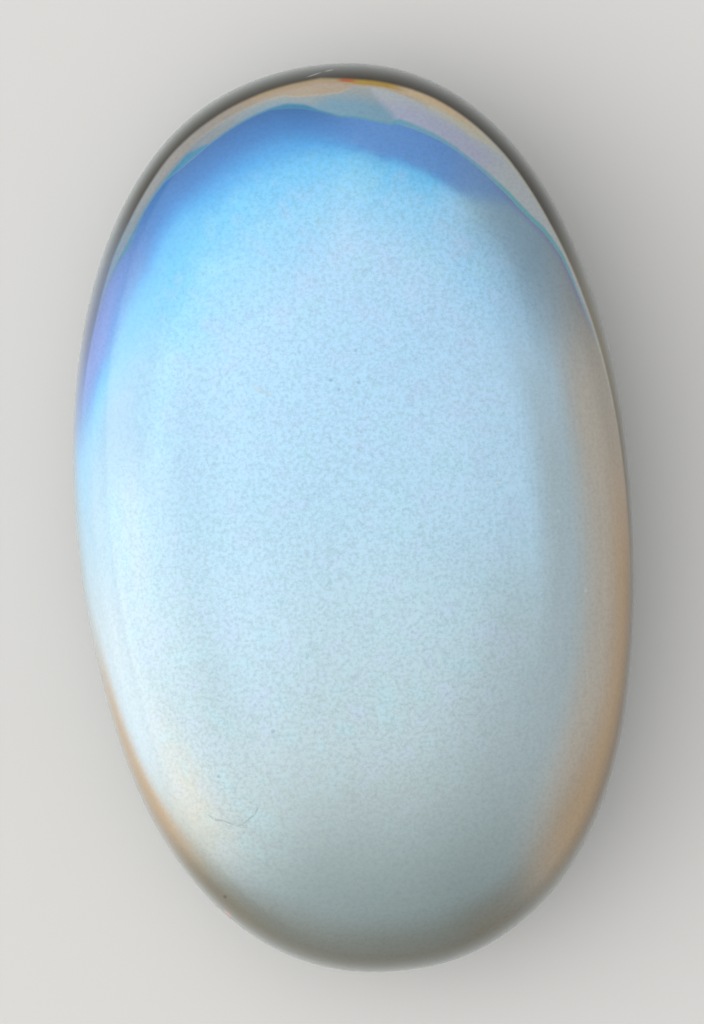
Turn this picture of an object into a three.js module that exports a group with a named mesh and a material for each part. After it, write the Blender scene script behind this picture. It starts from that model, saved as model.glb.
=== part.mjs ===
// A polished oval moonstone, one solid piece of feldspar. It has a broad, low crown, a rounded
// girdle and a shallower underside. A small worn flat under its middle is what it rests on, and a
// narrow bevel runs under the girdle round one end.
//
// Millimetres, +Z up. The stone's length runs along Y and its width along X. The origin is the
// middle of the flat that it rests on.

import * as THREE from "three";

// Driving dimensions.
const LENGTH = 30.0; // along Y
const WIDTH = 18.35; // along X
const CROWN_HEIGHT = 4.7; // from the girdle up to the crest
const BASE_DEPTH = 3.4; // from the girdle down to the resting flat

// Curves. A power of 2 is an ellipse; a higher one is squarer in plan or flatter on top.
const OUTLINE_POWER = 2.24;
const CROWN_POWER = 2.7;
const BASE_POWER = 2.4;
const FLAT_SHARE = 0.36; // the resting flat's outline, as a share of the stone's

// The hand-cut outline bows: both ends lie this share of the half width towards +X.
const BOW = 0.018;

// The crown's crest sits a little towards the -Y end, which is the heavier one.
const CREST_LEAN = 0.035;

// Low waves that hand polishing leaves on both faces.
const WAVE_HEIGHT = 0.05;
const WAVES = [
  { alongX: 0.42, alongY: 0.19, phase: 0.6, share: 1.0 },
  { alongX: -0.27, alongY: 0.36, phase: 2.1, share: 0.7 },
  { alongX: 0.71, alongY: -0.31, phase: 4.4, share: 0.35 },
];

// The bevel under the +Y end: its plan width there, as a share of the stone's, and the half angle
// over which it narrows to nothing.
const BEVEL_SHARE = 0.125;
const BEVEL_MIDDLE = THREE.MathUtils.degToRad(84);
const BEVEL_HALF_ANGLE = THREE.MathUtils.degToRad(104);

// Facets.
const SEGMENTS = 96; // round the outline
const CROWN_RINGS = 17;
const BASE_RINGS = 13;

const halfLength = LENGTH / 2;
const halfWidth = WIDTH / 2;

// How far a dome has dropped at a share of the way out from its crest, from 1 at the crest to 0 at
// the girdle. It leaves the girdle straight up, as a rounded edge does.
const dome = (share, power) => Math.sqrt(Math.max(0, 1 - share ** power));

// The underside's dome is deeper than the stone, and the resting flat cuts it off.
const wholeBaseDepth = BASE_DEPTH / dome(FLAT_SHARE, BASE_POWER);

// Places on a dome from its crest (turn 0) to the girdle (turn of a quarter circle).
const shareAt = (turn, power) => Math.sin(turn) ** (2 / power);

// The half section of a stone of unit radius, from the middle of the flat up round the girdle to
// the crest: x is the share of the way out, y the height in millimetres.
function halfSection() {
  const points = [new THREE.Vector2(0, 0)];
  const flatTurn = Math.asin(FLAT_SHARE ** (BASE_POWER / 2));
  for (let ring = 0; ring < BASE_RINGS; ring++) {
    const turn = THREE.MathUtils.lerp(flatTurn, Math.PI / 2, ring / BASE_RINGS);
    const share = shareAt(turn, BASE_POWER);
    points.push(new THREE.Vector2(share, BASE_DEPTH - wholeBaseDepth * dome(share, BASE_POWER)));
  }
  points[1].y = 0; // the flat's own edge, exactly level
  for (let ring = 0; ring < CROWN_RINGS; ring++) {
    const turn = THREE.MathUtils.lerp(Math.PI / 2, 0, ring / CROWN_RINGS);
    const share = shareAt(turn, CROWN_POWER);
    points.push(new THREE.Vector2(share, BASE_DEPTH + CROWN_HEIGHT * dome(share, CROWN_POWER)));
  }
  points.push(new THREE.Vector2(0, BASE_DEPTH + CROWN_HEIGHT));
  return points;
}

// The stone's outline in the direction of an angle: a superellipse, LENGTH by WIDTH.
function outline(angle) {
  const bend = (value) => Math.sign(value) * Math.abs(value) ** (2 / OUTLINE_POWER);
  return new THREE.Vector2(halfWidth * bend(Math.cos(angle)), halfLength * bend(Math.sin(angle)));
}

// How wide the bevel is in the direction of an angle, as a share of the stone's outline.
function bevelShare(angle) {
  const away = Math.abs(Math.atan2(Math.sin(angle - BEVEL_MIDDLE), Math.cos(angle - BEVEL_MIDDLE)));
  return BEVEL_SHARE * (1 - THREE.MathUtils.smoothstep(away, 0, BEVEL_HALF_ANGLE));
}

// The height of the underside, with the bevel as a straight line from its inner edge to the girdle.
function baseHeight(share, angle, height) {
  const width = bevelShare(angle);
  const inner = 1 - width;
  if (share <= inner || width === 0) return height;
  const innerHeight = BASE_DEPTH - wholeBaseDepth * dome(inner, BASE_POWER);
  return THREE.MathUtils.lerp(innerHeight, BASE_DEPTH, (share - inner) / width);
}

// The polishing waves' height at a place in plan. They fade out at the girdle.
function waves(x, y, share) {
  const sum = WAVES.reduce(
    (total, wave) => total + wave.share * Math.sin(wave.alongX * x + wave.alongY * y + wave.phase),
    0,
  );
  return WAVE_HEIGHT * sum * (1 - share ** 2) ** 2;
}

// Moves one point of the round, unit-radius stone to its place on the real one.
function shape(point) {
  const share = Math.min(1, Math.hypot(point.x, point.y));
  const angle = Math.atan2(point.y, point.x);
  const edge = outline(angle);
  const y = edge.y * share;
  const along = y / halfLength;
  const x = edge.x * share + BOW * halfWidth * along ** 2;
  let z = point.z;
  if (z > BASE_DEPTH) {
    const lean = 1 - CREST_LEAN * along * (1 - share ** 2);
    z = BASE_DEPTH + (z - BASE_DEPTH) * lean + waves(x, y, share);
  } else if (z > 0) {
    z = baseHeight(share, angle, z);
  }
  return new THREE.Vector3(x, y, z);
}

// The stone's surface: the half section turned round the upright axis, then every point shaped.
function stoneGeometry() {
  const geometry = new THREE.LatheGeometry(halfSection(), SEGMENTS);
  geometry.rotateX(Math.PI / 2);
  const places = geometry.getAttribute("position");
  const point = new THREE.Vector3();
  for (let i = 0; i < places.count; i++) {
    const { x, y, z } = shape(point.fromBufferAttribute(places, i));
    places.setXYZ(i, x, y, z);
  }
  geometry.computeVertexNormals();
  return geometry;
}

const milkyBlue = new THREE.MeshStandardMaterial({ color: 0xb4d2e2, roughness: 0.12, metalness: 0 });

const moonstone = new THREE.Mesh(stoneGeometry(), milkyBlue);
moonstone.name = "moonstone";

const part = new THREE.Group();
part.add(moonstone);

export default part;
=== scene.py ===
"""A polished oval moonstone lying on a pale floor under soft studio light.

The stone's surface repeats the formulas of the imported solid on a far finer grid. Its milky blue
body, the sheen, the clear rim and the stepped seam inside one end are painted by nodes that read
Object coordinates, so they stay with the stone from every side.
"""

import logging
import math
from dataclasses import dataclass
from enum import Enum
from functools import reduce

import bpy
import numpy as np
from mathutils import Matrix, Vector


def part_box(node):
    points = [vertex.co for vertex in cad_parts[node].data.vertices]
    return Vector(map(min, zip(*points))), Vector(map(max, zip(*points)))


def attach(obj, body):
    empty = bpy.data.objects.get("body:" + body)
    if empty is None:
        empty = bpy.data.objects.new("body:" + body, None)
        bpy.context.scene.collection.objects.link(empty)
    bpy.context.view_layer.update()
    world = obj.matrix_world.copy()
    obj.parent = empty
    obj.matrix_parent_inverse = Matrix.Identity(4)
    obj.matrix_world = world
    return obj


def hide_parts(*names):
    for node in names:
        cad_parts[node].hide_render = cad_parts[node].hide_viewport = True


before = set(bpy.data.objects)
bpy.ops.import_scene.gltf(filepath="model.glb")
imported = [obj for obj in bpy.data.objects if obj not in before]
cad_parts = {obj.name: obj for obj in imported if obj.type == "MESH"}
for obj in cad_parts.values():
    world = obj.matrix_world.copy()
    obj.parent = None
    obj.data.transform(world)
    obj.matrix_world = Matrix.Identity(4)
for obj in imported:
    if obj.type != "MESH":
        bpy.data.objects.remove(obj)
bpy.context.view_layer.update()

LOG = logging.getLogger("moonstone")
MM = 0.001

Pair = tuple[float, float]
Line = tuple[Pair, ...]  # the points of a line, in order


# ---------------------------------------------------------------------------------------------
# Colours
# ---------------------------------------------------------------------------------------------


class Shade(Enum):
    """The stone's colours, in display values of 0 to 255, among them painted highlights, glints,
    reflections and shade.
    """

    BRIGHT_MILK = (184, 216, 240)
    MILK_BLUE = (166, 206, 234)
    MILK = (167, 204, 225)
    GREY_MILK = (173, 200, 211)
    WARM_MILK = (170, 187, 190)
    FOOT_GREY = (122, 137, 137)
    PALE_SKY = (134, 198, 234)
    SKY = (108, 187, 232)
    CYAN = (94, 175, 216)
    AZURE = (74, 154, 214)
    DEEP_BLUE = (60, 120, 182)
    NAVY = (48, 98, 154)
    PERIWINKLE = (90, 137, 197)
    VIOLET = (129, 151, 204)
    IRIS = (104, 108, 164)
    SLATE = (162, 178, 184)
    HAZE = (124, 158, 180)
    DARK_SLATE = (122, 144, 157)
    # painted shade on the outer ring towards +X
    DUSK_PAINTED_SHADE = (142, 142, 134)
    WARM_GREY = (180, 173, 161)
    TAN = (178, 150, 114)
    # painted highlight on the -X side
    PEARL_PAINTED_HIGHLIGHT = (184, 200, 208)
    CREAM_GLOW = (184, 183, 170)
    # painted shade on the outermost edge
    EDGE_OLIVE_PAINTED_SHADE = (88, 80, 58)
    TEAL = (28, 118, 154)
    PALE_TEAL = (86, 154, 176)
    SEA_GREEN = (92, 164, 168)
    LAVENDER = (156, 163, 184)
    GREY_LILAC = (165, 173, 178)
    GREEN_GREY = (114, 150, 170)
    ASH = (114, 126, 134)
    STONE_GREY = (149, 156, 155)
    # the cream line and its glints, painted reflections of light off the back edge seen through the
    # stone
    DUN_PAINTED_REFLECTION = (132, 128, 122)
    CREAM_PAINTED_REFLECTION = (166, 152, 134)
    PEACH_PAINTED_GLINT = (188, 167, 134)
    TOAST_PAINTED_GLINT = (158, 136, 100)
    PALE_CREAM_PAINTED_REFLECTION = (175, 176, 164)
    AMBER_PAINTED_GLINT = (163, 131, 30)
    RUST_PAINTED_GLINT = (168, 82, 18)
    # painted shade on the clear rim, the dark of a dark surround seen through it; the first also
    # darkens a pit
    RIM_SHADE_AND_PIT_GREY = (38, 32, 17)
    RIM_MIST_PAINTED_SHADE = (86, 95, 112)
    RIM_BROWN_PAINTED_SHADE = (104, 86, 50)
    # these three: painted shade on the outer edge and the foot's tip
    EDGE_BROWN_PAINTED_SHADE = (122, 84, 36)
    SAND_GREY_PAINTED_SHADE = (108, 98, 76)
    FOOT_PAINTED_SHADE = (106, 110, 103)
    SAND = (162, 144, 118)
    UNDER_BLUE = (164, 190, 208)
    UNDER_MILK = (168, 188, 198)
    UNDER_WARM = (168, 180, 181)
    UNDER_EDGE = (150, 156, 150)
    GROUND_MILK = (184, 193, 197)
    WALL_MIST = (154, 161, 160)
    LILAC_MILK = (178, 192, 224)
    GREEN_MILK = (158, 206, 216)
    SCUFF = (176, 180, 182)
    HAIRLINE = (112, 124, 124)
    DOT = (112, 142, 164)
    PALE_DOT = (214, 220, 222)
    # a painted glint on the edge
    EMBER_PAINTED_GLINT = (196, 92, 52)
    LINT = (150, 150, 148)

    @property
    def linear(self) -> tuple[float, float, float, float]:
        """The colour as scene-linear red, green, blue and alpha.

        Display values decode as ((value / 255 + 0.055) / 1.055) ** 2.4 above the dark toe.

        Returns:
            Four numbers, alpha 1.
        """
        parts = [channel / 255 for channel in self.value]
        decoded = [
            part / 12.92 if part <= 0.04045 else ((part + 0.055) / 1.055) ** 2.4
            for part in parts
        ]
        return (*decoded, 1.0)


# ---------------------------------------------------------------------------------------------
# Node sketching
# ---------------------------------------------------------------------------------------------

# A Mix node has sockets for each kind of data under the same names. These are its colour ones.
MIX_FACTOR, MIX_BELOW, MIX_ABOVE = 0, 6, 7
MIX_RESULT = 2


class Field:
    """A number that varies over the surface: the output of a node, with ordinary arithmetic."""

    def __init__(self, brush: "Brush", socket: bpy.types.NodeSocket) -> None:
        """Keeps the brush that made the field and the output socket that carries it."""
        self.brush = brush
        self.socket = socket

    def __add__(self, other: "Field | float") -> "Field":
        """self + other."""
        return self.brush.maths("ADD", self, other)

    def __radd__(self, other: float) -> "Field":
        """other + self."""
        return self.brush.maths("ADD", other, self)

    def __sub__(self, other: "Field | float") -> "Field":
        """self - other."""
        return self.brush.maths("SUBTRACT", self, other)

    def __rsub__(self, other: float) -> "Field":
        """other - self."""
        return self.brush.maths("SUBTRACT", other, self)

    def __mul__(self, other: "Field | float") -> "Field":
        """self times other."""
        return self.brush.maths("MULTIPLY", self, other)

    def __truediv__(self, other: "Field | float") -> "Field":
        """self over other."""
        return self.brush.maths("DIVIDE", self, other)

    def __pow__(self, other: float) -> "Field":
        """self to a power."""
        return self.brush.maths("POWER", self, other)

    def __abs__(self) -> "Field":
        """The field without its sign."""
        return self.brush.maths("ABSOLUTE", self)

    def least(self, other: "Field | float") -> "Field":
        """The smaller of two fields."""
        return self.brush.maths("MINIMUM", self, other)

    def most(self, other: "Field | float") -> "Field":
        """The larger of two fields."""
        return self.brush.maths("MAXIMUM", self, other)

    def rise(self, low: float, high: float) -> "Field":
        """A smooth step up: 0 until low, 1 from high."""
        return self.step(low, high, 0.0, 1.0)

    def fall(self, low: float, high: float) -> "Field":
        """A smooth step down: 1 until low, 0 from high."""
        return self.step(low, high, 1.0, 0.0)

    def step(self, low: float, high: float, before: float, after: float) -> "Field":
        """A smooth step from one value to another, by t * t * (3 - 2 * t) between low and high.

        Args:
            low: Where the step starts.
            high: Where it ends.
            before: The value until low.
            after: The value from high.

        Returns:
            The step as a field.
        """
        node = self.brush.node("ShaderNodeMapRange", interpolation_type="SMOOTHSTEP")
        ends = {"From Min": low, "From Max": high, "To Min": before, "To Max": after}
        self.brush.feed(node.inputs["Value"], self)
        for name, value in ends.items():
            node.inputs[name].default_value = value
        return Field(self.brush, node.outputs["Result"])

    def band(self, low: float, high: float, soft: float) -> "Field":
        """1 between low and high, with soft edges that are centred on them.

        Args:
            low: The band's lower edge.
            high: The band's upper edge.
            soft: Half the width of each edge.

        Returns:
            The band as a field from 0 to 1.
        """
        return self.rise(low - soft, low + soft) * self.fall(high - soft, high + soft)

    def along(self, points: Line, span: float = 90.0) -> "Field":
        """A line of straight stretches through points, level beyond the first and last.

        Args:
            points: Pairs of a value of this field and the height there, from 0 to 1.
            span: The line is kept for values of this field between -span and span.

        Returns:
            The height of the line at this field's value.
        """
        stops = [(at / (2 * span) + 0.5, (tall, tall, tall, 1.0)) for at, tall in points]
        return self.brush.ramp(self / (2 * span) + 0.5, stops).grey()


class Tint:
    """A colour that varies over the surface: the output of a node."""

    def __init__(self, brush: "Brush", socket: bpy.types.NodeSocket) -> None:
        """Keeps the brush that made the colour and the output socket that carries it."""
        self.brush = brush
        self.socket = socket

    def grey(self) -> Field:
        """The colour's brightness as a field."""
        node = self.brush.node("ShaderNodeRGBToBW")
        self.brush.feed(node.inputs[0], self)
        return Field(self.brush, node.outputs[0])

    def under(self, over: "Tint | Shade", mask: Field | float) -> "Tint":
        """This colour with another laid over it.

        Args:
            over: The colour on top.
            mask: How much of it covers, from 0 to 1.

        Returns:
            The mix: this colour times (1 - mask) plus the other times mask.
        """
        node = self.brush.node("ShaderNodeMix", data_type="RGBA")
        self.brush.feed(node.inputs[MIX_FACTOR], mask)
        self.brush.feed(node.inputs[MIX_BELOW], self)
        self.brush.feed(node.inputs[MIX_ABOVE], over)
        return Tint(self.brush, node.outputs[MIX_RESULT])

    def layered(self, *layers: tuple["Tint | Shade", Field]) -> "Tint":
        """This colour with several laid over it.

        Args:
            layers: Pairs of a colour and its mask, the lowest first.

        Returns:
            The colour with the layers on it.
        """
        return reduce(lambda below, layer: below.under(*layer), layers, self)

    def times(self, level: Field | float) -> "Tint":
        """The colour made brighter or darker by a factor.

        Args:
            level: The factor.

        Returns:
            Each channel times the factor.
        """
        node = self.brush.node("ShaderNodeVectorMath", operation="SCALE")
        self.brush.feed(node.inputs[0], self)
        self.brush.feed(node.inputs["Scale"], level)
        return Tint(self.brush, node.outputs[0])


class Brush:
    """Lays nodes in a tree and hands their outputs back as fields and tints."""

    def __init__(self, tree: bpy.types.NodeTree) -> None:
        """Keeps the tree that the nodes go into."""
        self.tree = tree

    def node(self, kind: str, **settings: object) -> bpy.types.Node:
        """Adds a node and gives it its settings.

        Args:
            kind: The node's type name.
            settings: The node's properties by name.

        Returns:
            The new node.
        """
        node = self.tree.nodes.new(kind)
        for key, value in settings.items():
            setattr(node, key, value)
        return node

    def feed(self, socket: bpy.types.NodeSocket, value: object) -> None:
        """Links a field or tint to an input, or sets the input to a plain value.

        Args:
            socket: The input.
            value: A Field or Tint, a Shade, or a value of the socket's own kind.
        """
        if isinstance(value, (Field, Tint)):
            self.tree.links.new(value.socket, socket)
        elif isinstance(value, Shade):
            socket.default_value = value.linear
        else:
            socket.default_value = value

    def maths(self, operation: str, *terms: "Field | float") -> Field:
        """One step of arithmetic.

        Args:
            operation: The Math node's operation.
            terms: Its inputs in order.

        Returns:
            The result as a field.
        """
        node = self.node("ShaderNodeMath", operation=operation)
        for socket, term in zip(node.inputs, terms, strict=False):
            self.feed(socket, term)
        return Field(self, node.outputs[0])

    def ramp(self, place: Field, stops: list[tuple[float, object]]) -> Tint:
        """A colour ramp with straight stretches between its stops.

        Args:
            place: Where on the ramp to read, from 0 to 1.
            stops: Pairs of a position and a Shade or a linear colour, in order.

        Returns:
            The ramp's colour.
        """
        node = self.node("ShaderNodeValToRGB")
        elements = node.color_ramp.elements
        while len(elements) < len(stops):
            elements.new(1.0)
        for element, (position, colour) in zip(elements, stops, strict=True):
            element.position = position
            element.color = colour.linear if isinstance(colour, Shade) else colour
        self.feed(node.inputs[0], place)
        return Tint(self, node.outputs["Color"])

    def here(self) -> Tint:
        """The stone's own coordinates, in metres."""
        return Tint(self, self.node("ShaderNodeTexCoord").outputs["Object"])

    def place(self) -> tuple[Field, Field, Field]:
        """The stone's own X, Y and Z, in metres."""
        split = self.node("ShaderNodeSeparateXYZ")
        self.feed(split.inputs[0], self.here())
        return tuple(Field(self, split.outputs[axis]) for axis in "XYZ")

    def stretched(self, stretch: tuple[float, float, float]) -> Tint:
        """The stone's own coordinates scaled along X, Y and Z."""
        mapping = self.node("ShaderNodeMapping")
        mapping.inputs["Scale"].default_value = stretch
        self.feed(mapping.inputs["Vector"], self.here())
        return Tint(self, mapping.outputs[0])

    def noise(
        self, size: float, detail: float = 0.0, where: Tint | None = None, rough: float = 0.5
    ) -> Field:
        """Soft noise about 0.5.

        Args:
            size: The distance over which it changes, in metres.
            detail: How many finer layers it has.
            where: Coordinates to read, or None for the stone's own.
            rough: How strong each finer layer is beside the one before.

        Returns:
            The noise as a field.
        """
        node = self.node("ShaderNodeTexNoise")
        node.inputs["Scale"].default_value = 1.0 / size
        node.inputs["Detail"].default_value = detail
        node.inputs["Roughness"].default_value = rough
        self.feed(node.inputs["Vector"], where or self.here())
        return Field(self, node.outputs["Fac"])

    def stroke(self, mark: "Stroke") -> Field:
        """How far a point seen from above lies from a narrow mark's middle.

        Args:
            mark: The mark.

        Returns:
            The distance, 0 in its middle and 1 on its edge.
        """
        mapping = self.node("ShaderNodeMapping", vector_type="TEXTURE")
        mapping.inputs["Location"].default_value = (*(place * MM for place in mark.middle), 0.0)
        mapping.inputs["Rotation"].default_value = (0.0, 0.0, math.radians(mark.turn))
        mapping.inputs["Scale"].default_value = (*(size * MM for size in mark.half), MARK_REACH)
        length = self.node("ShaderNodeVectorMath", operation="LENGTH")
        self.feed(mapping.inputs["Vector"], self.here())
        self.tree.links.new(mapping.outputs[0], length.inputs[0])
        return Field(self, length.outputs["Value"])

    def distance(self, places: Tint, middle: tuple[float, float, float]) -> Field:
        """How far coordinates lie from a point.

        Args:
            places: The coordinates.
            middle: The point, in the same units.

        Returns:
            The distance as a field.
        """
        node = self.node("ShaderNodeVectorMath", operation="DISTANCE")
        node.inputs[1].default_value = middle
        self.feed(node.inputs[0], places)
        return Field(self, node.outputs["Value"])

    def surface(self, shader: bpy.types.Node) -> None:
        """Makes a shader the surface of the tree's material."""
        output = self.node("ShaderNodeOutputMaterial")
        self.tree.links.new(shader.outputs[0], output.inputs["Surface"])


def blank_material(name: str) -> tuple[bpy.types.Material, Brush]:
    """An empty node material, and the brush for its tree.

    Args:
        name: The material's name.

    Returns:
        The material and the brush.
    """
    material = bpy.data.materials.new(name)
    material.use_nodes = True
    material.node_tree.nodes.clear()
    return material, Brush(material.node_tree)


def shown(name: str, data: bpy.types.ID) -> bpy.types.Object:
    """Puts a mesh, a camera or a light in the scene.

    Args:
        name: The new object's name.
        data: What it shows.

    Returns:
        The object, at the origin.
    """
    thing = bpy.data.objects.new(name, data)
    bpy.context.scene.collection.objects.link(thing)
    return thing


# ---------------------------------------------------------------------------------------------
# The stone
# ---------------------------------------------------------------------------------------------

LEAST_WIDTH = 1e-6  # a bevel narrower than this share of the stone counts as none


@dataclass(frozen=True)
class StoneForm:
    """The stone's form, in metres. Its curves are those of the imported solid.

    A point's share is how far out it lies on the way to the outline, from 0 to 1, and its bearing
    is the direction it lies in, in degrees from the +Y end towards +X.
    """

    half_width: float
    half_length: float
    crown_height: float = 4.7 * MM
    base_depth: float = 3.4 * MM
    outline_power: float = 2.24
    crown_power: float = 2.7
    base_power: float = 2.4
    flat_share: float = 0.36
    bow: float = 0.018
    crest_lean: float = 0.035
    wave_height: float = 0.05 * MM
    bevel_share: float = 0.125
    bevel_middle: float = math.radians(84)
    bevel_half_angle: float = math.radians(104)

    # Shallow flats that hand cutting left on the outline: the direction of each in degrees from
    # +X towards +Y, how deep it is as a share of the outline, and half how wide in degrees.
    flats: tuple[tuple[float, float, float], ...] = (
        (30, 0.0025, 9), (105, 0.0050, 13), (198, 0.0090, 13), (294, 0.0035, 11), (343, 0.0085, 15),
    )

    # Lines round the +Y end, as points of a bearing and a share. seam is the stepped seam along
    # the bevel's inner edge, and a teal wash reaches beyond it by wash. The blue crescent's depth
    # inside it is its full one times crescent. cream and clear are the inner edges of the cream
    # line and of the clear rim.
    seam: Line = (
        (-70, 0.956), (-60, 0.950), (-56, 0.948), (-53, 0.941), (-49, 0.925), (-46, 0.928),
        (-43, 0.932), (-37, 0.929), (-34, 0.919), (-30, 0.912), (-24, 0.911), (-12, 0.915),
        (-8, 0.908), (-4, 0.899), (-1, 0.889), (2, 0.879), (4, 0.873), (8, 0.871),
        (12, 0.867), (15.6, 0.867), (17.3, 0.874), (22, 0.875), (28, 0.878), (34, 0.880),
        (40, 0.885), (46, 0.896), (49, 0.906), (52, 0.922), (57, 0.939), (64, 0.945),
        (74, 0.957),
    )
    wash: Line = (
        (-57, 0.002), (-52, 0.008), (-49, 0.012), (-46, 0.006), (-43, 0.003), (-37, 0.003),
        (-34, 0.012), (-31, 0.018), (-28, 0.010), (-26, 0.002), (-12, 0.003), (-8, 0.011),
        (-4, 0.010), (-1, 0.004), (2, 0.003), (15.6, 0.003), (17.3, 0.012), (22, 0.010),
        (28, 0.008), (34, 0.006), (40, 0.008), (46, 0.009), (52, 0.009), (57, 0.007),
        (62, 0.003), (75, 0.002),
    )
    crescent: Line = (
        (-72, 0.25), (-66, 0.36), (-60, 0.60), (-54, 0.90), (-44, 1.00), (-12, 1.00),
        (-3, 0.84), (0, 0.74), (4, 0.62), (8, 0.66), (12, 0.69), (18, 0.70),
        (25, 0.68),
    )
    cream: Line = (
        (-60, 0.953), (-48, 0.948), (-40, 0.941), (-28, 0.939), (-20, 0.937), (-9, 0.938),
        (-5, 0.928), (0, 0.926), (4, 0.928), (7, 0.943), (14, 0.944), (20, 0.938),
        (24, 0.931), (33, 0.930), (36, 0.942), (40, 0.950), (50, 0.948), (70, 0.957),
        (80, 0.967),
    )
    clear: Line = (
        (-72, 0.966), (-66, 0.963), (-60, 0.960), (-52, 0.962), (-46, 0.958), (-40, 0.959),
        (-34, 0.961), (-24, 0.957), (-16, 0.956), (-8, 0.9585), (-3, 0.961), (0, 0.964),
        (3, 0.961), (8, 0.9585), (16, 0.959), (24, 0.9605), (32, 0.9595), (40, 0.958),
        (46, 0.9545), (52, 0.9525), (58, 0.9555), (64, 0.959), (72, 0.9665), (80, 0.972),
        (90, 0.977),
    )

    @property
    def whole_base_depth(self) -> float:
        """How deep the underside's dome would be if the resting flat didn't cut it off."""
        return self.base_depth / math.sqrt(1 - self.flat_share**self.base_power)


@dataclass
class Moonstone:
    """The stone as one closed mesh.

    Each polishing wave is its rate along X and along Y in radians per millimetre, its phase and its
    share of the wave height. On the map, the two charts are the middles of the crown's oval and the
    underside's, and chart_half is their half size.
    """

    form: StoneForm
    segments: int = 480
    flat_rings: int = 12
    base_rings: int = 70
    crown_rings: int = 110
    crown_chart: float = 0.25
    base_chart: float = 0.75
    chart_half: Pair = (0.24, 0.48)
    waves: tuple[tuple[float, float, float, float], ...] = (
        (0.42, 0.19, 0.6, 1.0),
        (-0.27, 0.36, 2.1, 0.7),
        (0.71, -0.31, 4.4, 0.35),
    )

    def half_section(self) -> tuple[np.ndarray, np.ndarray]:
        """The half section of a stone of unit radius, from the middle of the flat to the crest.

        A dome stands sqrt(1 - share ** power) of its height over its rim. Its points lie at even
        turns, where share = sin(turn) ** (2 / power), so that the dome is cos(turn).

        Returns:
            The shares and the heights of the rings, poles left out.
        """
        form = self.form
        flat = np.linspace(0, form.flat_share, self.flat_rings + 1)[1:-1]
        start = math.asin(form.flat_share ** (form.base_power / 2))
        base_turn = np.linspace(start, math.pi / 2, self.base_rings, endpoint=False)
        crown_turn = np.linspace(math.pi / 2, 0, self.crown_rings, endpoint=False)
        base = form.base_depth - form.whole_base_depth * np.cos(base_turn)
        base[0] = 0.0
        crown = form.base_depth + form.crown_height * np.cos(crown_turn)
        shares = [flat, np.sin(base_turn) ** (2 / form.base_power)]
        shares.append(np.sin(crown_turn) ** (2 / form.crown_power))
        return np.concatenate(shares), np.concatenate([np.zeros_like(flat), base, crown])

    def bevelled(self, share: np.ndarray, angle: np.ndarray, height: np.ndarray) -> np.ndarray:
        """The underside with its bevel: a straight line from the bevel's inner edge to the girdle.

        The bevel's width is bevel_share * (1 - smoothstep(angle from its middle)).

        Args:
            share: Each point's share.
            angle: Each point's angle round the stone from +X, in radians.
            height: Each point's height without the bevel.

        Returns:
            The heights with the bevel.
        """
        form = self.form
        turned = angle - form.bevel_middle
        away = np.abs(np.arctan2(np.sin(turned), np.cos(turned))) / form.bevel_half_angle
        away = np.clip(away, 0, 1)
        width = form.bevel_share * (1 - away * away * (3 - 2 * away))
        inner = 1 - width
        dome = np.sqrt(np.maximum(0, 1 - inner**form.base_power))
        inner_height = form.base_depth - form.whole_base_depth * dome
        line = (share - inner) / np.maximum(width, LEAST_WIDTH)
        cut = inner_height + (form.base_depth - inner_height) * line
        return np.where((line > 0) & (width > LEAST_WIDTH), cut, height)

    def wave(self, x: np.ndarray, y: np.ndarray, share: np.ndarray) -> np.ndarray:
        """The low waves that hand polishing leaves on the crown.

        Each is its share of wave_height times sin(along_x * x + along_y * y + phase), with x and
        y in millimetres. They fade towards the girdle as (1 - share ** 2) ** 2.

        Args:
            x: Each point's X in metres.
            y: Each point's Y in metres.
            share: Each point's share.

        Returns:
            The waves' height in metres.
        """
        total = sum(
            part * np.sin(along_x * x / MM + along_y * y / MM + phase)
            for along_x, along_y, phase, part in self.waves
        )
        return self.form.wave_height * total * (1 - share**2) ** 2

    def hand_cut(self, direction: np.ndarray) -> np.ndarray:
        """How far the outline is cut in, as a share of itself.

        Each flat adds depth * exp(-(angle from its middle / width) ** 2).

        Args:
            direction: Each point's direction in degrees from +X towards +Y.

        Returns:
            The cut, from 0.
        """
        cut = np.zeros_like(direction)
        for middle, depth, width in self.form.flats:
            away = (direction - middle + 180) % 360 - 180
            cut += depth * np.exp(-((away / width) ** 2))
        return cut

    def surface(self) -> np.ndarray:
        """The points of the stone's grid, ring by ring.

        In plan the outline is the superellipse |u| ** n + |v| ** n = 1, and a point lies at
        u + bow * v ** 2 of the half width and v of the half length. The crown's height leans by
        1 - crest_lean * v * (1 - share ** 2) and carries the waves.

        Returns:
            An array of rings by segments by 3.
        """
        form = self.form
        ring_share, ring_height = self.half_section()
        angle = np.linspace(0, 2 * math.pi, self.segments, endpoint=False)[None, :]
        share, height = ring_share[:, None], ring_height[:, None]
        power = 2 / form.outline_power
        u = np.sign(np.cos(angle)) * np.abs(np.cos(angle)) ** power * share
        v = np.sign(np.sin(angle)) * np.abs(np.sin(angle)) ** power * share
        cut = 1 - self.hand_cut(np.degrees(np.arctan2(v, u))) * share**2
        x = form.half_width * (u * cut + form.bow * v**2)
        y = form.half_length * v * cut
        share = np.broadcast_to(share, u.shape)
        lean = 1 - form.crest_lean * v * (1 - share**2)
        crown = form.base_depth + (height - form.base_depth) * lean + self.wave(x, y, share)
        base = self.bevelled(share, angle, height)
        z = np.where(height > form.base_depth, crown, np.where(height > 0, base, 0.0))
        return np.stack([x, y, z], axis=-1)

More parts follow.
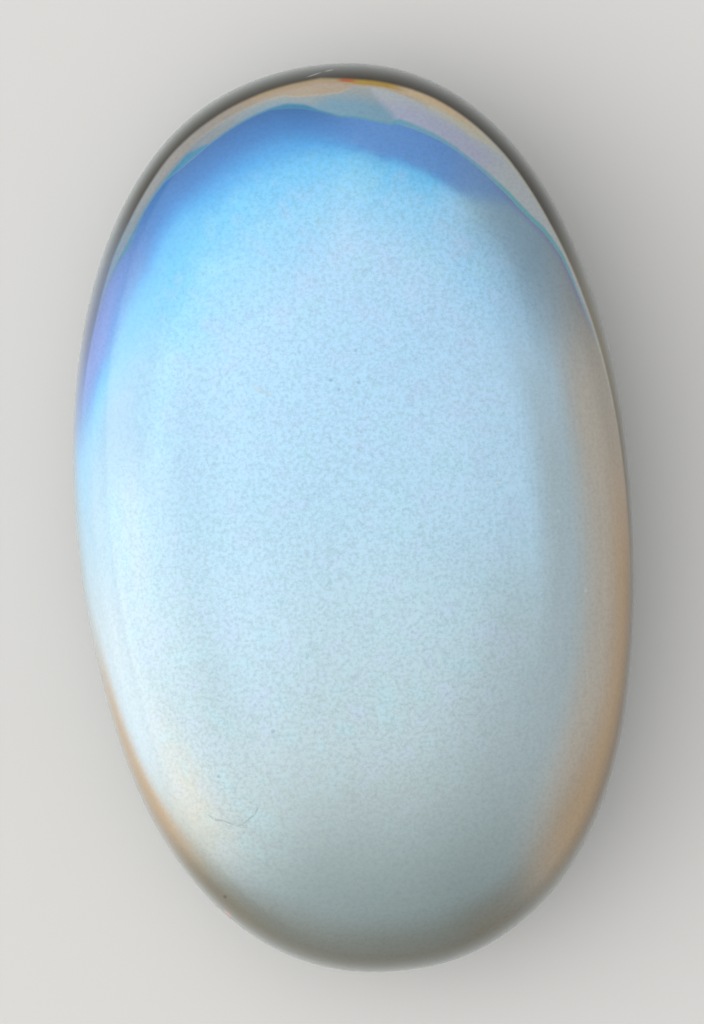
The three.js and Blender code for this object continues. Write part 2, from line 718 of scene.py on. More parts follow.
    def faces(self, rings: int) -> list[list[int]]:
        """The grid's faces: quads between rings, and a fan of triangles round each pole.

        Args:
            rings: How many rings the grid has.

        Returns:
            The faces as lists of point numbers, facing outwards. The pole under the stone is
            point 0 and the crest is the last.
        """
        here = np.arange(self.segments)
        onward = (here + 1) % self.segments
        start = 1 + self.segments * np.arange(rings - 1)[:, None]
        above = start + self.segments
        quads = np.stack([start + here, start + onward, above + onward, above + here], -1)
        last = 1 + self.segments * (rings - 1)
        crest = last + self.segments
        under = np.stack([np.zeros_like(here), 1 + onward, 1 + here], -1)
        top = np.stack([last + here, last + onward, np.full_like(here, crest)], -1)
        return quads.reshape(-1, 4).tolist() + under.tolist() + top.tolist()

    def unwrap(self, mesh: bpy.types.Mesh, grid: np.ndarray) -> None:
        """Gives the mesh its own map: the crown and the underside side by side, as flat ovals.

        A point's distance from its oval's middle is its way along the surface from the pole, as a
        share of the way to the girdle, and its direction is that of its part of the outline.

        Args:
            mesh: The stone's mesh.
            grid: Its points, ring by ring.
        """
        rings, girdle = len(grid), self.flat_rings - 1 + self.base_rings
        edge = grid[girdle] / np.abs(grid[girdle]).max(axis=0)
        steps = np.linalg.norm(np.diff(grid, axis=0), axis=2).mean(axis=1)
        way = np.concatenate([[0.0], np.cumsum(steps)]) + steps[0]
        under = way / way[girdle]
        top = (way[-1] + steps[-1] - way) / (way[-1] + steps[-1] - way[girdle])
        corner = np.zeros(len(mesh.loops), int)
        mesh.loops.foreach_get("vertex_index", corner)
        sizes = np.zeros(len(mesh.polygons), int)
        mesh.polygons.foreach_get("loop_total", sizes)
        quads = (rings - 1) * self.segments
        on_crown = np.arange(len(sizes)) >= quads + self.segments
        on_crown[:quads] = np.repeat(np.arange(rings - 1) >= girdle, self.segments)
        on_crown = np.repeat(on_crown, sizes)
        pole = (corner == 0) | (corner == len(mesh.vertices) - 1)
        ring = np.clip((corner - 1) // self.segments, 0, rings - 1)
        turn = (corner - 1) % self.segments
        out = np.where(pole, 0.0, np.where(on_crown, top[ring], under[ring]))
        half_across, half_along = self.chart_half
        middle = np.where(on_crown, self.crown_chart, self.base_chart)
        across = middle + half_across * out * edge[turn, 0]
        along = 0.5 + half_along * out * edge[turn, 1]
        chart = mesh.uv_layers.new(name="OFBake")
        chart.data.foreach_set("uv", np.stack([across, along], -1).ravel())

    def build(self) -> bpy.types.Object:
        """Puts the grid into a mesh object at the origin.

        Returns:
            The stone, smooth shaded.
        """
        grid = self.surface()
        foot = np.zeros((1, 3))
        crest_height = self.form.base_depth + self.form.crown_height
        crest_height += float(self.wave(np.zeros(1), np.zeros(1), np.zeros(1))[0])
        crest = np.array([[0.0, 0.0, crest_height]])
        points = np.concatenate([foot, grid.reshape(-1, 3), crest])
        mesh = bpy.data.meshes.new("polished_stone")
        mesh.from_pydata(points.tolist(), [], self.faces(len(grid)))
        mesh.polygons.foreach_set("use_smooth", np.ones(len(mesh.polygons), bool))
        self.unwrap(mesh, grid)
        mesh.update()
        return shown("polished_stone", mesh)


@dataclass(frozen=True)
class Spot:
    """Where a point of the stone lies and its grain, as fields that the finish reads.

    z is in metres, and along is y as a share of the half length. inside is how far the point lies
    in from the seam, as a share of the outline. fleck and blotch are the feldspar's fine and large
    random structure, each about 0.5.
    """

    brush: Brush
    z: Field
    along: Field
    share: Field
    bearing: Field
    inside: Field
    fleck: Field
    blotch: Field

    @classmethod
    def read(cls, form: StoneForm, fleck: Field, blotch: Field) -> "Spot":
        """Works the place out from the stone's own coordinates.

        The share is (|across| ** n + |along| ** n) ** (1 / n), with n the outline's power and
        across x as a share of the half width with the outline's bow taken out.

        Args:
            form: The stone's form.
            fleck: The fine structure.
            blotch: The large structure.

        Returns:
            The fields.
        """
        brush = fleck.brush
        x, y, z = brush.place()
        along = y / form.half_length
        across = x / form.half_width - along * along * form.bow
        power = form.outline_power
        share = (abs(across) ** power + abs(along) ** power) ** (1 / power)
        bearing = brush.maths("ARCTAN2", across, along) * math.degrees(1)
        inside = bearing.along(form.seam) - share
        return cls(brush, z, along, share, bearing, inside, fleck, blotch)

    def lengthwise(self, shades: tuple[tuple[float, Shade], ...]) -> Tint:
        """A colour that changes along the stone.

        Args:
            shades: Pairs of a place, from -1 at the foot to 1, and the shade there.

        Returns:
            The colour.
        """
        stops = [((at + 1) / 2, shade) for at, shade in shades]
        return self.brush.ramp(self.along * 0.5 + 0.5, stops)


@dataclass(frozen=True)
class Zone:
    """Part of the crown with soft edges, between two shares and between two bearings.

    Each edge is the pair of values that its smooth step runs between. Outwards, the zone grows over
    inner and fades over outer. Round the stone, it grows over start and fades over stop. A side
    whose edge is left out has no end.
    """

    strength: float
    inner: Pair
    outer: Pair | None = None
    start: Pair | None = None
    stop: Pair | None = None

    def mask(self, spot: Spot) -> Field:
        """How strongly the zone covers a point: the product of its steps, times its strength.

        Args:
            spot: Where the point lies.

        Returns:
            The cover, from 0 to the strength.
        """
        cover = spot.share.rise(*self.inner)
        if self.outer:
            cover = cover * spot.share.fall(*self.outer)
        if self.start:
            cover = cover * spot.bearing.rise(*self.start)
        if self.stop:
            cover = cover * spot.bearing.fall(*self.stop)
        return cover * self.strength


@dataclass(frozen=True)
class Layer:
    """One shade laid over its zones. Where zones overlap, the stronger one counts."""

    shade: Shade
    zones: tuple[Zone, ...]

    def cover(self, spot: Spot) -> tuple[Shade, Field]:
        """The layer's shade and its mask."""
        return self.shade, reduce(Field.most, [zone.mask(spot) for zone in self.zones])


def coated(colour: Tint, layers: tuple[Layer, ...], spot: Spot) -> Tint:
    """A colour with layers over it, the lowest first."""
    return colour.layered(*[layer.cover(spot) for layer in layers])


# The milky body's shades along the stone, from -1 at the foot to 1, and the underside's.
BODY = (
    (-0.60, Shade.WARM_MILK),
    (-0.25, Shade.GREY_MILK),
    (0.05, Shade.MILK),
    (0.40, Shade.MILK_BLUE),
)
UNDERSIDE = ((-0.8, Shade.UNDER_WARM), (0.0, Shade.UNDER_MILK), (0.7, Shade.UNDER_BLUE))

# Painted shade where the body dims towards -X, tempering the light from that side, and the bright
# ridges inside each side.
BODY_PAINTED_SHADE = Zone(-0.11, (0.40, 0.62), start=(-145, -115), stop=(-70, -40))
RIDGES = Layer(
    Shade.BRIGHT_MILK,
    (
        Zone(0.35, (0.15, 0.42), (0.60, 0.70), start=(38, 66), stop=(84, 112)),
        Zone(0.25, (0.15, 0.42), (0.50, 0.66), start=(-155, -125), stop=(-110, -80)),
    ),
)

# The foot: its pale glow, painted shade on its tip, and painted sand-grey shade on either side of
# that.
FOOT = (
    Layer(
        Shade.CREAM_GLOW,
        (Zone(1.0, (0.74, 0.87), (0.93, 0.985), start=(-150, -126), stop=(-132, -108)),),
    ),
    Layer(
        Shade.FOOT_PAINTED_SHADE,
        (Zone(1.0, (0.85, 0.955), start=(126, 152)), Zone(1.0, (0.85, 0.955), stop=(-156, -128))),
    ),
    Layer(
        Shade.SAND_GREY_PAINTED_SHADE,
        (
            Zone(0.9, (0.90, 0.985), start=(-158, -142), stop=(-134, -118)),
            Zone(0.8, (0.86, 0.97), start=(130, 146), stop=(154, 170)),
        ),
    ),
)

# The rings towards +X, and last the pearly one towards -X, a painted highlight on the side the light
# comes from.
SIDES = (
    Layer(
        Shade.SLATE,
        (
            Zone(0.8, (0.60, 0.72), start=(44, 88), stop=(123, 167)),
            Zone(0.45, (0.40, 0.56), start=(94, 118), stop=(138, 162)),
        ),
    ),
    Layer(Shade.PALE_SKY, (Zone(0.45, (0.56, 0.68), (0.74, 0.86), (16, 44), (38, 66)),)),
    Layer(Shade.HAZE, (Zone(1.0, (0.64, 0.88), start=(28, 42), stop=(52, 68)),)),
    Layer(Shade.DARK_SLATE, (Zone(1.0, (0.76, 0.93), start=(40, 64), stop=(68, 92)),)),
    # Painted shade on the outer ring towards +X.
    Layer(Shade.DUSK_PAINTED_SHADE, (Zone(0.8, (0.84, 0.96), start=(48, 68), stop=(74, 94)),)),
    Layer(Shade.WARM_GREY, (Zone(0.95, (0.75, 0.87), start=(52, 80), stop=(124, 152)),)),
    Layer(Shade.SAND, (Zone(0.85, (0.80, 0.94), start=(116, 136), stop=(136, 156)),)),
    Layer(Shade.TAN, (Zone(1.0, (0.86, 0.97), start=(74, 102), stop=(126, 154)),)),
    Layer(
        # A painted highlight on the -X side, which faces the light.
        Shade.PEARL_PAINTED_HIGHLIGHT,
        (
            Zone(1.0, (0.78, 0.92), start=(-138, -114), stop=(-107, -83)),
            Zone(0.4, (0.71, 0.79), (0.78, 0.86), start=(-122, -98), stop=(-92, -68)),
            Zone(0.35, (0.863, 0.887), (0.928, 0.952), start=(-114, -98), stop=(-88, -72)),
        ),
    ),
)

# Painted shade where the outer rings are dimmer towards +X, and painted light where they are
# brighter towards -X, the side the light comes from. A tone's strength is what it adds to the
# brightness.
SIDE_PAINTED_SHADE_AND_LIGHT = (
    Zone(-0.13, (0.885, 0.935), start=(46, 62), stop=(78, 94)),
    Zone(0.06, (0.860, 0.884), (0.913, 0.937), start=(-132, -116), stop=(-92, -76)),
)

# Painted shade: the dark outermost edge of the foot's half, where the surface turns from the light.
EDGES = (
    Layer(
        Shade.EDGE_OLIVE_PAINTED_SHADE,
        (Zone(0.6, (0.94, 0.988), stop=(-140, -104)), Zone(0.6, (0.94, 0.988), start=(86, 110))),
    ),
    Layer(Shade.EDGE_BROWN_PAINTED_SHADE, (Zone(0.8, (0.966, 0.984), start=(74, 94), stop=(122, 142)),)),
)

# The sheen's blues, by how far in from the seam each lies where the crescent is widest.
BLUES = (
    (0.0, Shade.NAVY),
    (0.05, Shade.DEEP_BLUE),
    (0.095, Shade.AZURE),
    (0.15, Shade.SKY),
    (0.24, Shade.PALE_SKY),
)
BLUE_REACH = 0.25

# The pale and hazy blues at the crescent's -X end.
SHOULDER = (
    Layer(Shade.PALE_SKY, (Zone(0.35, (0.61, 0.71), (0.75, 0.85), (-80, -68), (-64, -52)),)),
    Layer(Shade.HAZE, (Zone(0.4, (0.68, 0.76), (0.86, 0.92), (-88, -72), (-60, -44)),)),
    Layer(Shade.SKY, (Zone(0.35, (0.88, 0.97), start=(-88, -76), stop=(-72, -60)),)),
)


@dataclass(frozen=True)
class Stroke:
    """A narrow mark on the crown, such as a stretch of the hairline crack.

    Its middle and half size are in millimetres and its turn in degrees from +X towards +Y.
    """

    middle: Pair
    half: Pair
    turn: float


@dataclass(frozen=True)
class Marks:
    """Small marks of one shade on the crown: strokes, and the middles of dots in millimetres."""

    shade: Shade
    strength: float
    strokes: tuple[Stroke, ...] = ()
    dots: tuple[Pair, ...] = ()


DOT_RADIUS = 0.088  # millimetres
MARK_REACH = 1e3  # a mark's half size in Z, so large that only its place in plan counts
MARK_EDGE = (0.35, 1.0)  # the distances from a mark's middle over which it fades
MARKS = (
    Marks(
        Shade.SCUFF,
        0.28,
        strokes=(Stroke((-2.72, 4.42), (0.32, 0.15), -31), Stroke((-2.46, 4.26), (0.30, 0.05), -27)),
    ),
    Marks(
        Shade.HAIRLINE,
        0.42,
        strokes=(
            Stroke((-5.51, -9.31), (0.19, 0.04), -43),
            Stroke((-5.27, -9.43), (0.23, 0.055), -12),
            Stroke((-4.97, -9.53), (0.24, 0.045), -27),
            Stroke((-4.61, -9.65), (0.14, 0.045), 4),
            Stroke((-4.30, -9.48), (0.36, 0.045), 36),
            Stroke((-4.01, -9.21), (0.17, 0.04), 61),
        ),
    ),
    Marks(Shade.RIM_SHADE_AND_PIT_GREY, 0.5, dots=((-5.31, -12.00),)),
    # A painted orange-red glint on the edge.
    Marks(Shade.EMBER_PAINTED_GLINT, 0.9, strokes=(Stroke((-5.28, -12.59), (0.24, 0.05), -46),)),
    Marks(
        Shade.LINT,
        0.6,
        strokes=(Stroke((-0.05, 14.61), (0.34, 0.032), 14), Stroke((0.45, 14.71), (0.20, 0.032), 7)),
    ),
    Marks(
        Shade.PALE_DOT,
        0.24,
        strokes=(Stroke((7.85, 8.89), (0.14, 0.05), 100),),
        dots=((4.73, 0.74), (6.63, -0.35), (7.31, -3.01)),
    ),
    Marks(
        Shade.DOT,
        0.45,
        dots=(
            (-0.38, 4.52), (-0.15, 4.20), (0.51, 5.41), (0.51, 4.37), (-3.25, -6.66), (-5.14, -7.99),
        ),
    ),
)


@dataclass(frozen=True)
class MoonstoneFinish:
    """Milky, translucent feldspar with a blue sheen, polished all over.

    A level says how strongly a random pattern changes the colour. The violet's reach in from the
    seam and the cream line's strength are lines over the bearing. misty and turned are the heights
    over which the crown goes misty and then becomes the underside, and worn is the resting flat's.
    Ripples and nicks are heights in millimetres.

    In the masks, the limits of a step or band are in the units of what it reads: a share or a
    depth inside the seam as parts of the outline, and a bearing in degrees.
    """

    form: StoneForm
    index: float = 1.52
    scatter: float = 0.42
    scatter_depth: float = 1.6 * MM
    scatter_reach: tuple[float, float, float] = (1.0, 0.72, 0.5)
    polish: float = 0.09
    least_roughness: float = 0.04
    polish_drift: float = 0.14
    bevel_roughness: float = 0.13
    flat_roughness: float = 0.26
    girdle_roughness: float = 0.10
    fleck: float = 0.13 * MM
    fleck_middle: float = 0.49
    fleck_most: float = 0.60
    fleck_level: float = 0.34
    ring_fleck_level: float = 0.34
    under_fleck_level: float = 0.272
    blotch: float = 0.9 * MM
    hue_level: float = 0.22
    streak: float = 0.16 * MM
    streak_stretch: tuple[float, float, float] = (1.0, 0.09, 1.0)
    streak_level: float = 0.07
    brightness: float = 0.95
    violet_reach: Line = ((-84, 0.0), (-74, 0.04), (-64, 0.10), (-48, 0.09), (-38, 0.05))
    cream_strength: Line = ((-50, 0.0), (-28, 0.25), (-22, 0.5), (-8, 1.0), (36, 1.0), (42, 0.7))
    misty: Pair = (3.6 * MM, 5.0 * MM)
    turned: Pair = (2.0 * MM, 3.5 * MM)
    worn: Pair = (0.01 * MM, 0.05 * MM)
    ripple: float = 1.1 * MM
    ripple_height: float = 0.0018
    nick: float = 0.35 * MM
    nick_depth: float = 0.018

    def material(self) -> bpy.types.Material:
        """Builds the stone's material.

        Returns:
            A material with one Principled shader.
        """
        material, brush = blank_material("milky_moonstone")
        fleck = brush.noise(self.fleck, 2.0, rough=0.75).least(self.fleck_most)
        spot = Spot.read(self.form, fleck, brush.noise(self.blotch, 2.0))
        bump = brush.node("ShaderNodeBump")
        bump.inputs["Distance"].default_value = MM
        brush.feed(bump.inputs["Height"], self.relief(spot))
        shader = brush.node("ShaderNodeBsdfPrincipled", subsurface_method="BURLEY")
        brush.feed(shader.inputs["Base Color"], self.paint(spot))
        brush.feed(shader.inputs["Roughness"], self.roughness(spot))
        brush.tree.links.new(bump.outputs[0], shader.inputs["Normal"])
        shader.inputs["IOR"].default_value = self.index
        shader.inputs["Subsurface Weight"].default_value = self.scatter
        shader.inputs["Subsurface Radius"].default_value = self.scatter_reach
        shader.inputs["Subsurface Scale"].default_value = self.scatter_depth
        brush.surface(shader)
        return material

    def paint(self, spot: Spot) -> Tint:
        """The stone's colour, from the milky body out to the rim, and then the underside.

        Args:
            spot: Where the point lies.

        Returns:
            The colour.
        """
        colour = self.body(spot)
        for lay in (self.foot, self.sides, self.sheen, self.bevel, self.rim, self.speckle):
            colour = lay(colour, spot)
        return self.underside(self.marks(colour), spot)

    def body(self, spot: Spot) -> Tint:
        """The milky body, blue towards +Y and greyer towards the foot, with painted shade towards -X
        and its bright ridges.
        """
        milk = spot.lengthwise(BODY).times(1.0 + BODY_PAINTED_SHADE.mask(spot))
        return coated(milk, (RIDGES,), spot)

    def foot(self, colour: Tint, spot: Spot) -> Tint:
        """The grey -Y end, the pale glow beside it towards -X, and painted shade on its outer edge.

        Args:
            colour: The colour below.
            spot: Where the point lies.

        Returns:
            The colour with the foot on it.
        """
        end = (spot.bearing - spot.share * 50.0).fall(-205, -169).most(spot.bearing.rise(100, 150))
        colour = colour.under(Shade.FOOT_GREY, spot.share.rise(0.45, 0.92) * end)
        return coated(colour, FOOT, spot)

    def sides(self, colour: Tint, spot: Spot) -> Tint:
        """The slate, warm and tan rings towards +X, and the tan ring and painted pearl highlight
        towards -X.

        Args:
            colour: The colour below.
            spot: Where the point lies.

        Returns:
            The colour with the rings on it.
        """
        colour = coated(colour, SIDES, spot)
        slanted = (spot.share - (spot.bearing + 130.0) * 0.0009).rise(0.919, 0.959)
        colour = colour.under(Shade.TAN, slanted * spot.bearing.band(-134, -104, 8) * 0.9)
        # Painted shade towards +X and painted light towards -X on the outer rings.
        for tone in SIDE_PAINTED_SHADE_AND_LIGHT:
            colour = colour.times(1.0 + tone.mask(spot))
        # Painted shade on the dark outer edges.
        return coated(colour, EDGES, spot)

    def sheen(self, colour: Tint, spot: Spot) -> Tint:
        """The blue sheen of the +Y end: from pale sky to a deep crescent along the seam.

        The crescent is widest in the middle and narrows towards -X, so the blues are read at
        inside / crescent. Towards +X it ends on a slant, at a bearing that shrinks inwards.

        Args:
            colour: The colour below.
            spot: Where the point lies.

        Returns:
            The colour with the sheen on it.
        """
        bearing, inside = spot.bearing, spot.inside
        depth = inside / bearing.along(self.form.crescent)
        stops = [(at / BLUE_REACH, shade) for at, shade in BLUES]
        blue = spot.brush.ramp(depth / BLUE_REACH, stops)
        slant = bearing + inside.least(0.11) * 110.0
        end = bearing.rise(-80, -64) * slant.fall(37, 50)
        colour = colour.under(blue, depth.fall(0.19, 0.46) * end)
        colour = coated(colour, SHOULDER, spot)
        cyan = inside.rise(0.068, 0.115) * inside.fall(0.11, 0.26) * bearing.band(-60, -34, 12)
        periwinkle = (inside + bearing.fall(4, 22) * 0.018).fall(0.066, 0.098)
        periwinkle = periwinkle * bearing.rise(-8, 14) * slant.fall(40, 48)
        veil = (spot.share + bearing.rise(48, 66) * 0.04).rise(0.76, 0.81)
        violet = (bearing.along(self.violet_reach) - inside).rise(0.0, 0.075)
        violet = violet * bearing.rise(-86, -70) * bearing.fall(-66, -38)
        return colour.layered(
            (Shade.CYAN, cyan * 0.65),
            (Shade.PERIWINKLE, periwinkle * 0.9),
            (Shade.DARK_SLATE, veil * bearing.band(32, 66, 5) * 0.3),
            (Shade.VIOLET, violet * 0.9),
            (Shade.IRIS, inside.fall(0.0, 0.030) * bearing.band(-66, -53, 6) * 0.3),
            (Shade.IRIS, inside.fall(0.0, 0.022) * bearing.band(40, 66, 5) * 0.5),
        )

    def bevel(self, colour: Tint, spot: Spot) -> Tint:
        """The bevel seen through the stone: teal along the seam, then grey, green and lavender.

        Args:
            colour: The colour below.
            spot: Where the point lies.

        Returns:
            The colour with the bevel on it.
        """
        bearing, inside = spot.bearing, spot.inside
        end = bearing.rise(-66, -40) * bearing.fall(58, 72)
        beyond = inside.fall(-0.003, 0.003) * end
        outward = (inside - bearing.fall(-4, 4) * 0.035).fall(-0.068, -0.026)
        outward = outward * bearing.rise(-34, -8)
        lilac = beyond * (bearing + (spot.share - 0.91) * 104.0).rise(12.0, 15.6)
        washed = (inside + bearing.along(self.form.wash)).rise(-0.004, 0.005)
        teal = washed * inside.fall(-0.002, 0.003) * end
        return colour.layered(
            (Shade.GREEN_GREY, beyond),
            (Shade.ASH, beyond * bearing.fall(-24, -8)),
            (Shade.STONE_GREY, beyond * outward),
            (Shade.LAVENDER, lilac),
            (Shade.GREY_LILAC, lilac * outward.most(bearing.rise(34, 42))),
            (Shade.TEAL, teal * bearing.fall(0, 24) * 0.85),
            (Shade.PALE_TEAL, teal * bearing.rise(0, 8) * 0.8),
            (Shade.SEA_GREEN, teal * bearing.rise(36, 44) * 0.8),
        )

    def rim(self, colour: Tint, spot: Spot) -> Tint:
        """The cream line, its peach, amber and rust glints, and the clear rim outside them.

        The line and glints are painted reflections off the back edge seen through the stone, and
        the rim is painted dark with the shade of a dark surround seen through it.

        Args:
            colour: The colour below.
            spot: Where the point lies.

        Returns:
            The colour with the rim on it.
        """
        share, bearing = spot.share, spot.bearing
        # The cream line and the glints beside it are painted reflections of light off the back edge.
        cream = (share - bearing.along(self.form.cream)).rise(-0.005, 0.005)
        strength = bearing.along(self.cream_strength) * bearing.fall(78, 88)
        outer = share - bearing.along(self.form.clear)
        # Painted shade: the clear rim carries the dark of a dark surround seen through it.
        clear = outer.rise(-0.0045, 0.0045) * bearing.band(-68, 112, 12)
        mist = bearing.fall(-70, -40)
        brown = bearing.rise(48, 86)
        return colour.layered(
            (Shade.PALE_CREAM_PAINTED_REFLECTION, cream * strength.most(bearing.band(38, 80, 4))),
            (Shade.CREAM_PAINTED_REFLECTION, cream * strength * bearing.fall(17, 26)),
            (Shade.DUN_PAINTED_REFLECTION, cream * bearing.rise(-46, -28) * bearing.fall(-22, -4) * 0.85),
            (Shade.PEACH_PAINTED_GLINT, outer.rise(-0.022, -0.010) * bearing.rise(13, 20) * bearing.fall(26, 39)),
            (Shade.TOAST_PAINTED_GLINT, outer.rise(-0.016, -0.004) * bearing.band(-18, 14, 8) * 0.75),
            (Shade.AMBER_PAINTED_GLINT, outer.rise(-0.0125, -0.008) * bearing.band(6.5, 16.5, 2) * 0.9),
            (Shade.RUST_PAINTED_GLINT, outer.rise(-0.0095, -0.005) * bearing.band(4, 7.2, 1) * 0.85),
            (Shade.RIM_SHADE_AND_PIT_GREY, clear * (1.0 - mist) * (1.0 - brown)),
            (Shade.RIM_MIST_PAINTED_SHADE, clear * mist),
            (Shade.RIM_BROWN_PAINTED_SHADE, clear * brown),
        )

    def speckle(self, colour: Tint, spot: Spot) -> Tint:
        """The feldspar's fine flecks, faint blotches of hue, and streaks in the outer zones.

        Flecks are strongest in the milky middle and weakest in the clear outer ring. A level of
        brightness + amount * (noise - middle) multiplies the colour.

        Args:
            colour: The colour below.
            spot: Where the point lies.

        Returns:
            The colour with its grain.
        """
        share, bearing = spot.share, spot.bearing
        middle = share.fall(0.42, 0.80).most(share.fall(0.78, 0.95) * bearing.band(-150, -78, 14))
        middle = middle.most(share.fall(0.72, 0.86) * bearing.band(-86, 58, 14))
        colour = colour.layered(
            (Shade.LILAC_MILK, spot.blotch.rise(0.52, 0.72) * middle * self.hue_level),
            (Shade.GREEN_MILK, spot.blotch.fall(0.28, 0.48) * middle * self.hue_level),
        )
        amount = middle * self.fleck_level + self.ring_fleck_level
        level = (spot.fleck - self.fleck_middle) * amount + self.brightness
        lines = spot.brush.stretched(self.streak_stretch)
        streak = spot.brush.noise(self.streak, where=lines) - 0.5
        side = share.band(0.5, 0.97, 0.08) * bearing.band(55, 140, 15)
        return colour.times(level * (streak * side * self.streak_level + 1.0))

    def marks(self, colour: Tint) -> Tint:
        """The small marks that the crown carries, and a painted glint on its edge.

        Args:
            colour: The colour below.

        Returns:
            The colour with the marks on it.
        """
        brush = colour.brush
        radii = 1 / (DOT_RADIUS * MM)
        level = brush.stretched((radii, radii, 0.0))
        for group in MARKS:
            away = [brush.stroke(mark) for mark in group.strokes]
            middles = [(x / DOT_RADIUS, y / DOT_RADIUS, 0.0) for x, y in group.dots]
            away += [brush.distance(level, middle) for middle in middles]
            mask = reduce(Field.least, away).fall(*MARK_EDGE) * group.strength
            colour = colour.under(group.shade, mask)
        return colour

    def underside(self, crown: Tint, spot: Spot) -> Tint:
        """The crown's colour above the girdle and plain milk below it, misty in between.

        Args:
            crown: The crown's colour.
            spot: Where the point lies.

        Returns:
            The whole stone's colour.
        """
        milk = spot.lengthwise(UNDERSIDE).layered(
            (Shade.UNDER_EDGE, spot.share.rise(0.55, 1.0) * 0.6),
            (Shade.GROUND_MILK, spot.blotch.rise(0.45, 0.7) * 0.35),
            (Shade.GROUND_MILK, spot.z.fall(*self.worn) * 0.8),
        )
        milk = milk.times((spot.fleck - self.fleck_middle) * self.under_fleck_level + 1.0)
        colour = crown.under(Shade.WALL_MIST, spot.z.fall(*self.misty) * 0.8)
        return colour.under(milk, spot.z.fall(*self.turned))

    def facet(self, spot: Spot) -> Field:
        """1 on the bevel under the +Y end, 0 elsewhere.

        Its width is bevel_share * (1 - smoothstep(bearing from its middle)).

        Args:
            spot: Where the point lies.

        Returns:
            The bevel as a field from 0 to 1.
        """
        form = self.form
        away = abs(spot.bearing - (90 - math.degrees(form.bevel_middle)))
        width = away.fall(0.0, math.degrees(form.bevel_half_angle)) * form.bevel_share
        below = spot.z.fall(form.base_depth - 0.04 * MM, form.base_depth)
        return (spot.share + width).rise(0.998, 1.004) * below

    def roughness(self, spot: Spot) -> Field:
        """High polish on the crown, a duller ground bevel, a rubbed girdle and a worn matt flat.

        Args:
            spot: Where the point lies.

        Returns:
            The roughness.
        """
        worn = spot.z.fall(0.01 * MM, 0.06 * MM) * self.flat_roughness
        girdle = abs(spot.z - self.form.base_depth).fall(0.05 * MM, 0.22 * MM)
        rubbed = girdle * spot.fleck.rise(0.45, 0.6) * self.girdle_roughness
        drift = (spot.blotch - 0.5) * self.polish_drift
        polish = drift + self.polish + self.facet(spot) * self.bevel_roughness
        return polish.most(self.least_roughness) + worn + rubbed

    def relief(self, spot: Spot) -> Field:
        """The surface's fine height in millimetres: polish ripple and nicks along the girdle.

        Args:
            spot: Where the point lies.

        Returns:
            The height.
        """
        girdle = abs(spot.z - self.form.base_depth).fall(0.04 * MM, 0.16 * MM)
        nicks = spot.brush.noise(self.nick).rise(0.62, 0.75) * girdle * self.nick_depth
        return spot.brush.noise(self.ripple) * self.ripple_height - nicks


# ---------------------------------------------------------------------------------------------
# The studio
# ---------------------------------------------------------------------------------------------


@dataclass(frozen=True)
class FloorFinish:
    """A plain pale matt floor, whose tone drifts a little about its middle."""

    tone: float = 0.60
    drift: float = 0.03
    drift_size: float = 0.02
    white: tuple[float, float, float, float] = (1.0, 0.985, 0.96, 1.0)
    black: tuple[float, float, float, float] = (0.0, 0.0, 0.0, 1.0)
    roughness: float = 0.85

    def material(self) -> bpy.types.Material:
        """Builds the floor's material.

        Returns:
            A rough material with a faint unevenness of tone.
        """
        material, brush = blank_material("pale_floor")
        tone = brush.noise(self.drift_size, 3.0) * self.drift + (self.tone - self.drift / 2)
        shader = brush.node("ShaderNodeBsdfPrincipled")
        colour = brush.ramp(tone, [(0.0, self.black), (1.0, self.white)])
        brush.feed(shader.inputs["Base Color"], colour)
        shader.inputs["Roughness"].default_value = self.roughness
        brush.surface(shader)
        return material


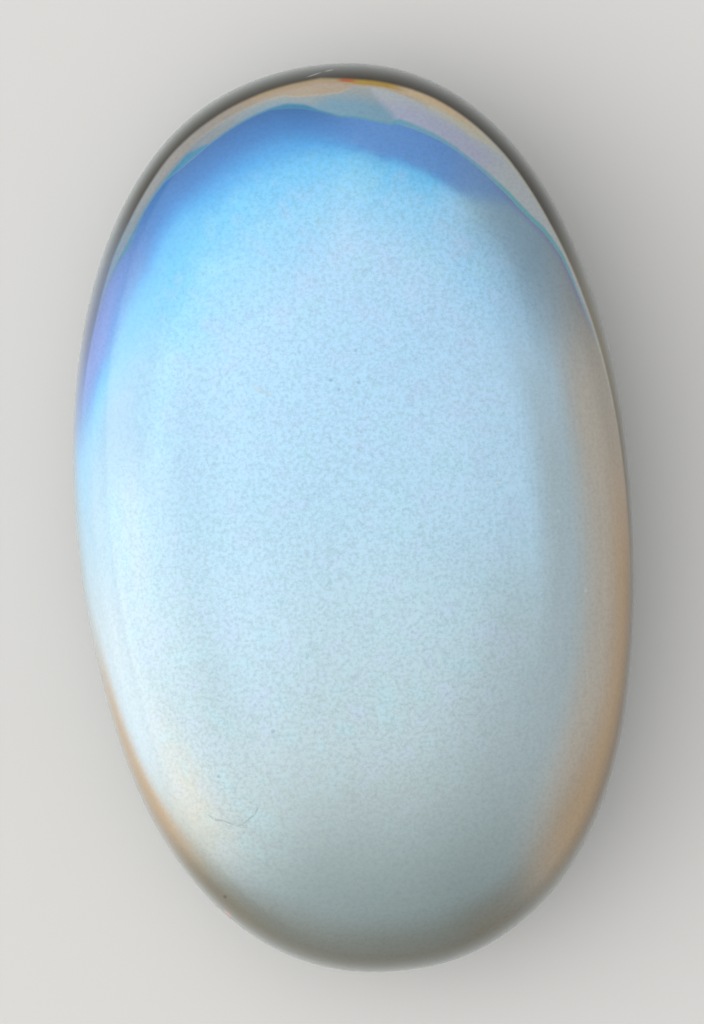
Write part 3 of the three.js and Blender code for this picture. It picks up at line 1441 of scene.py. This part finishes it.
@dataclass
class Studio:
    """The floor, the soft light and the camera.

    The picture's height and the offset of its middle are measured at the stone's girdle. The soft
    box's glow fades between the two distances of key_fade from its middle, as shares of its side,
    and the surround's grows between the two glow_cosines.
    """

    form: StoneForm
    picture_height: float = 33.75 * MM
    picture_offset: Pair = (-0.067 * MM, 0.202 * MM)
    lean: float = math.radians(5.0)
    lens: float = 300.0
    sensor: float = 36.0
    nearest: float = 0.01
    floor_reach: float = 24.0
    sky: float = 0.66
    key_place: tuple[float, float, float] = (-3.0, 0.0, 1.26)
    key_size: Pair = (5.4, 4.2)
    key_power: float = 108.0
    key_fade: Pair = (0.2, 0.5)
    glow_towards: tuple[float, float, float] = (-0.9, 0.0, 0.44)
    glow_cosines: Pair = (-0.1, 1.0)
    side_glow: float = 1.0

    def floor(self) -> None:
        """Lays the floor as one square at the stone's resting height."""
        reach = self.floor_reach
        corners = [(-reach, -reach, 0), (reach, -reach, 0), (reach, reach, 0), (-reach, reach, 0)]
        mesh = bpy.data.meshes.new("floor")
        mesh.from_pydata(corners, [], [(0, 1, 2, 3)])
        mesh.materials.append(FloorFinish().material())
        floor = shown("floor", mesh)

    def camera(self) -> None:
        """Sets the camera straight above the stone, far off with a long lens.

        Its distance from the girdle is lens / sensor times the picture's height, so that the
        picture's long side spans that height there.
        """
        data = bpy.data.cameras.new("overhead")
        data.lens = self.lens
        data.sensor_width = self.sensor
        data.clip_start = self.nearest
        distance = self.lens / self.sensor * self.picture_height
        camera = shown("overhead", data)
        camera.location = (*self.picture_offset, self.form.base_depth + distance)
        camera.rotation_euler = (0.0, 0.0, -self.lean)
        bpy.context.scene.camera = camera

    def soft_box(self) -> None:
        """Lights the stone with a large soft box towards -X.

        It is bright in its middle and fades to nothing at its edges, so that its reflection on
        the polish is a glow without an outline.
        """
        data = bpy.data.lights.new("soft_box", "AREA")
        data.shape = "RECTANGLE"
        data.size, data.size_y = self.key_size
        data.energy = self.key_power
        data.use_nodes = True
        brush = Brush(data.node_tree)
        face = Tint(brush, brush.node("ShaderNodeNewGeometry").outputs["Parametric"])
        fade = brush.distance(face, (0.5, 0.5, 0.0)).fall(*self.key_fade)
        brush.feed(brush.tree.nodes["Emission"].inputs["Strength"], fade)
        place = Vector(self.key_place)
        facing = (-place).to_track_quat("-Z", "Y").to_matrix().to_4x4()
        shown("soft_box", data).matrix_world = Matrix.Translation(place) @ facing

    def surround(self) -> None:
        """Fills the surround with an even pale light that grows softly stronger towards -X.

        Its strength is sky + side_glow * smoothstep(cosine of the angle from glow_towards).
        """
        world = bpy.data.worlds.new("surround")
        world.use_nodes = True
        brush = Brush(world.node_tree)
        view = Tint(brush, brush.node("ShaderNodeTexCoord").outputs["Generated"])
        cosine = brush.node("ShaderNodeVectorMath", operation="DOT_PRODUCT")
        cosine.inputs[1].default_value = Vector(self.glow_towards).normalized()
        brush.feed(cosine.inputs[0], view)
        glow = Field(brush, cosine.outputs["Value"])
        glow = glow.step(*self.glow_cosines, self.sky, self.sky + self.side_glow)
        background = brush.tree.nodes["Background"]
        background.inputs["Color"].default_value = (1.0, 1.0, 1.0, 1.0)
        brush.feed(background.inputs["Strength"], glow)
        bpy.context.scene.world = world

    def build(self) -> None:
        """Builds the floor, the lights and the camera, and sets a plain display transform."""
        self.floor()
        self.soft_box()
        self.surround()
        self.camera()
        bpy.context.scene.view_settings.view_transform = "Standard"


def main() -> None:
    """Builds the stone and the studio, in order, and reports the stone's faces."""
    logging.basicConfig(level=logging.INFO, format="%(name)s: %(message)s")
    low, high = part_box("moonstone")
    form = StoneForm(half_width=(high.x - low.x) / 2, half_length=(high.y - low.y) / 2)
    Studio(form).build()
    stone = Moonstone(form).build()
    stone.data.materials.append(MoonstoneFinish(form).material())
    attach(stone, "root")
    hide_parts("moonstone")
    LOG.info("%s: %d faces", stone.name, len(stone.data.polygons))


if __name__ == "__main__":
    main()
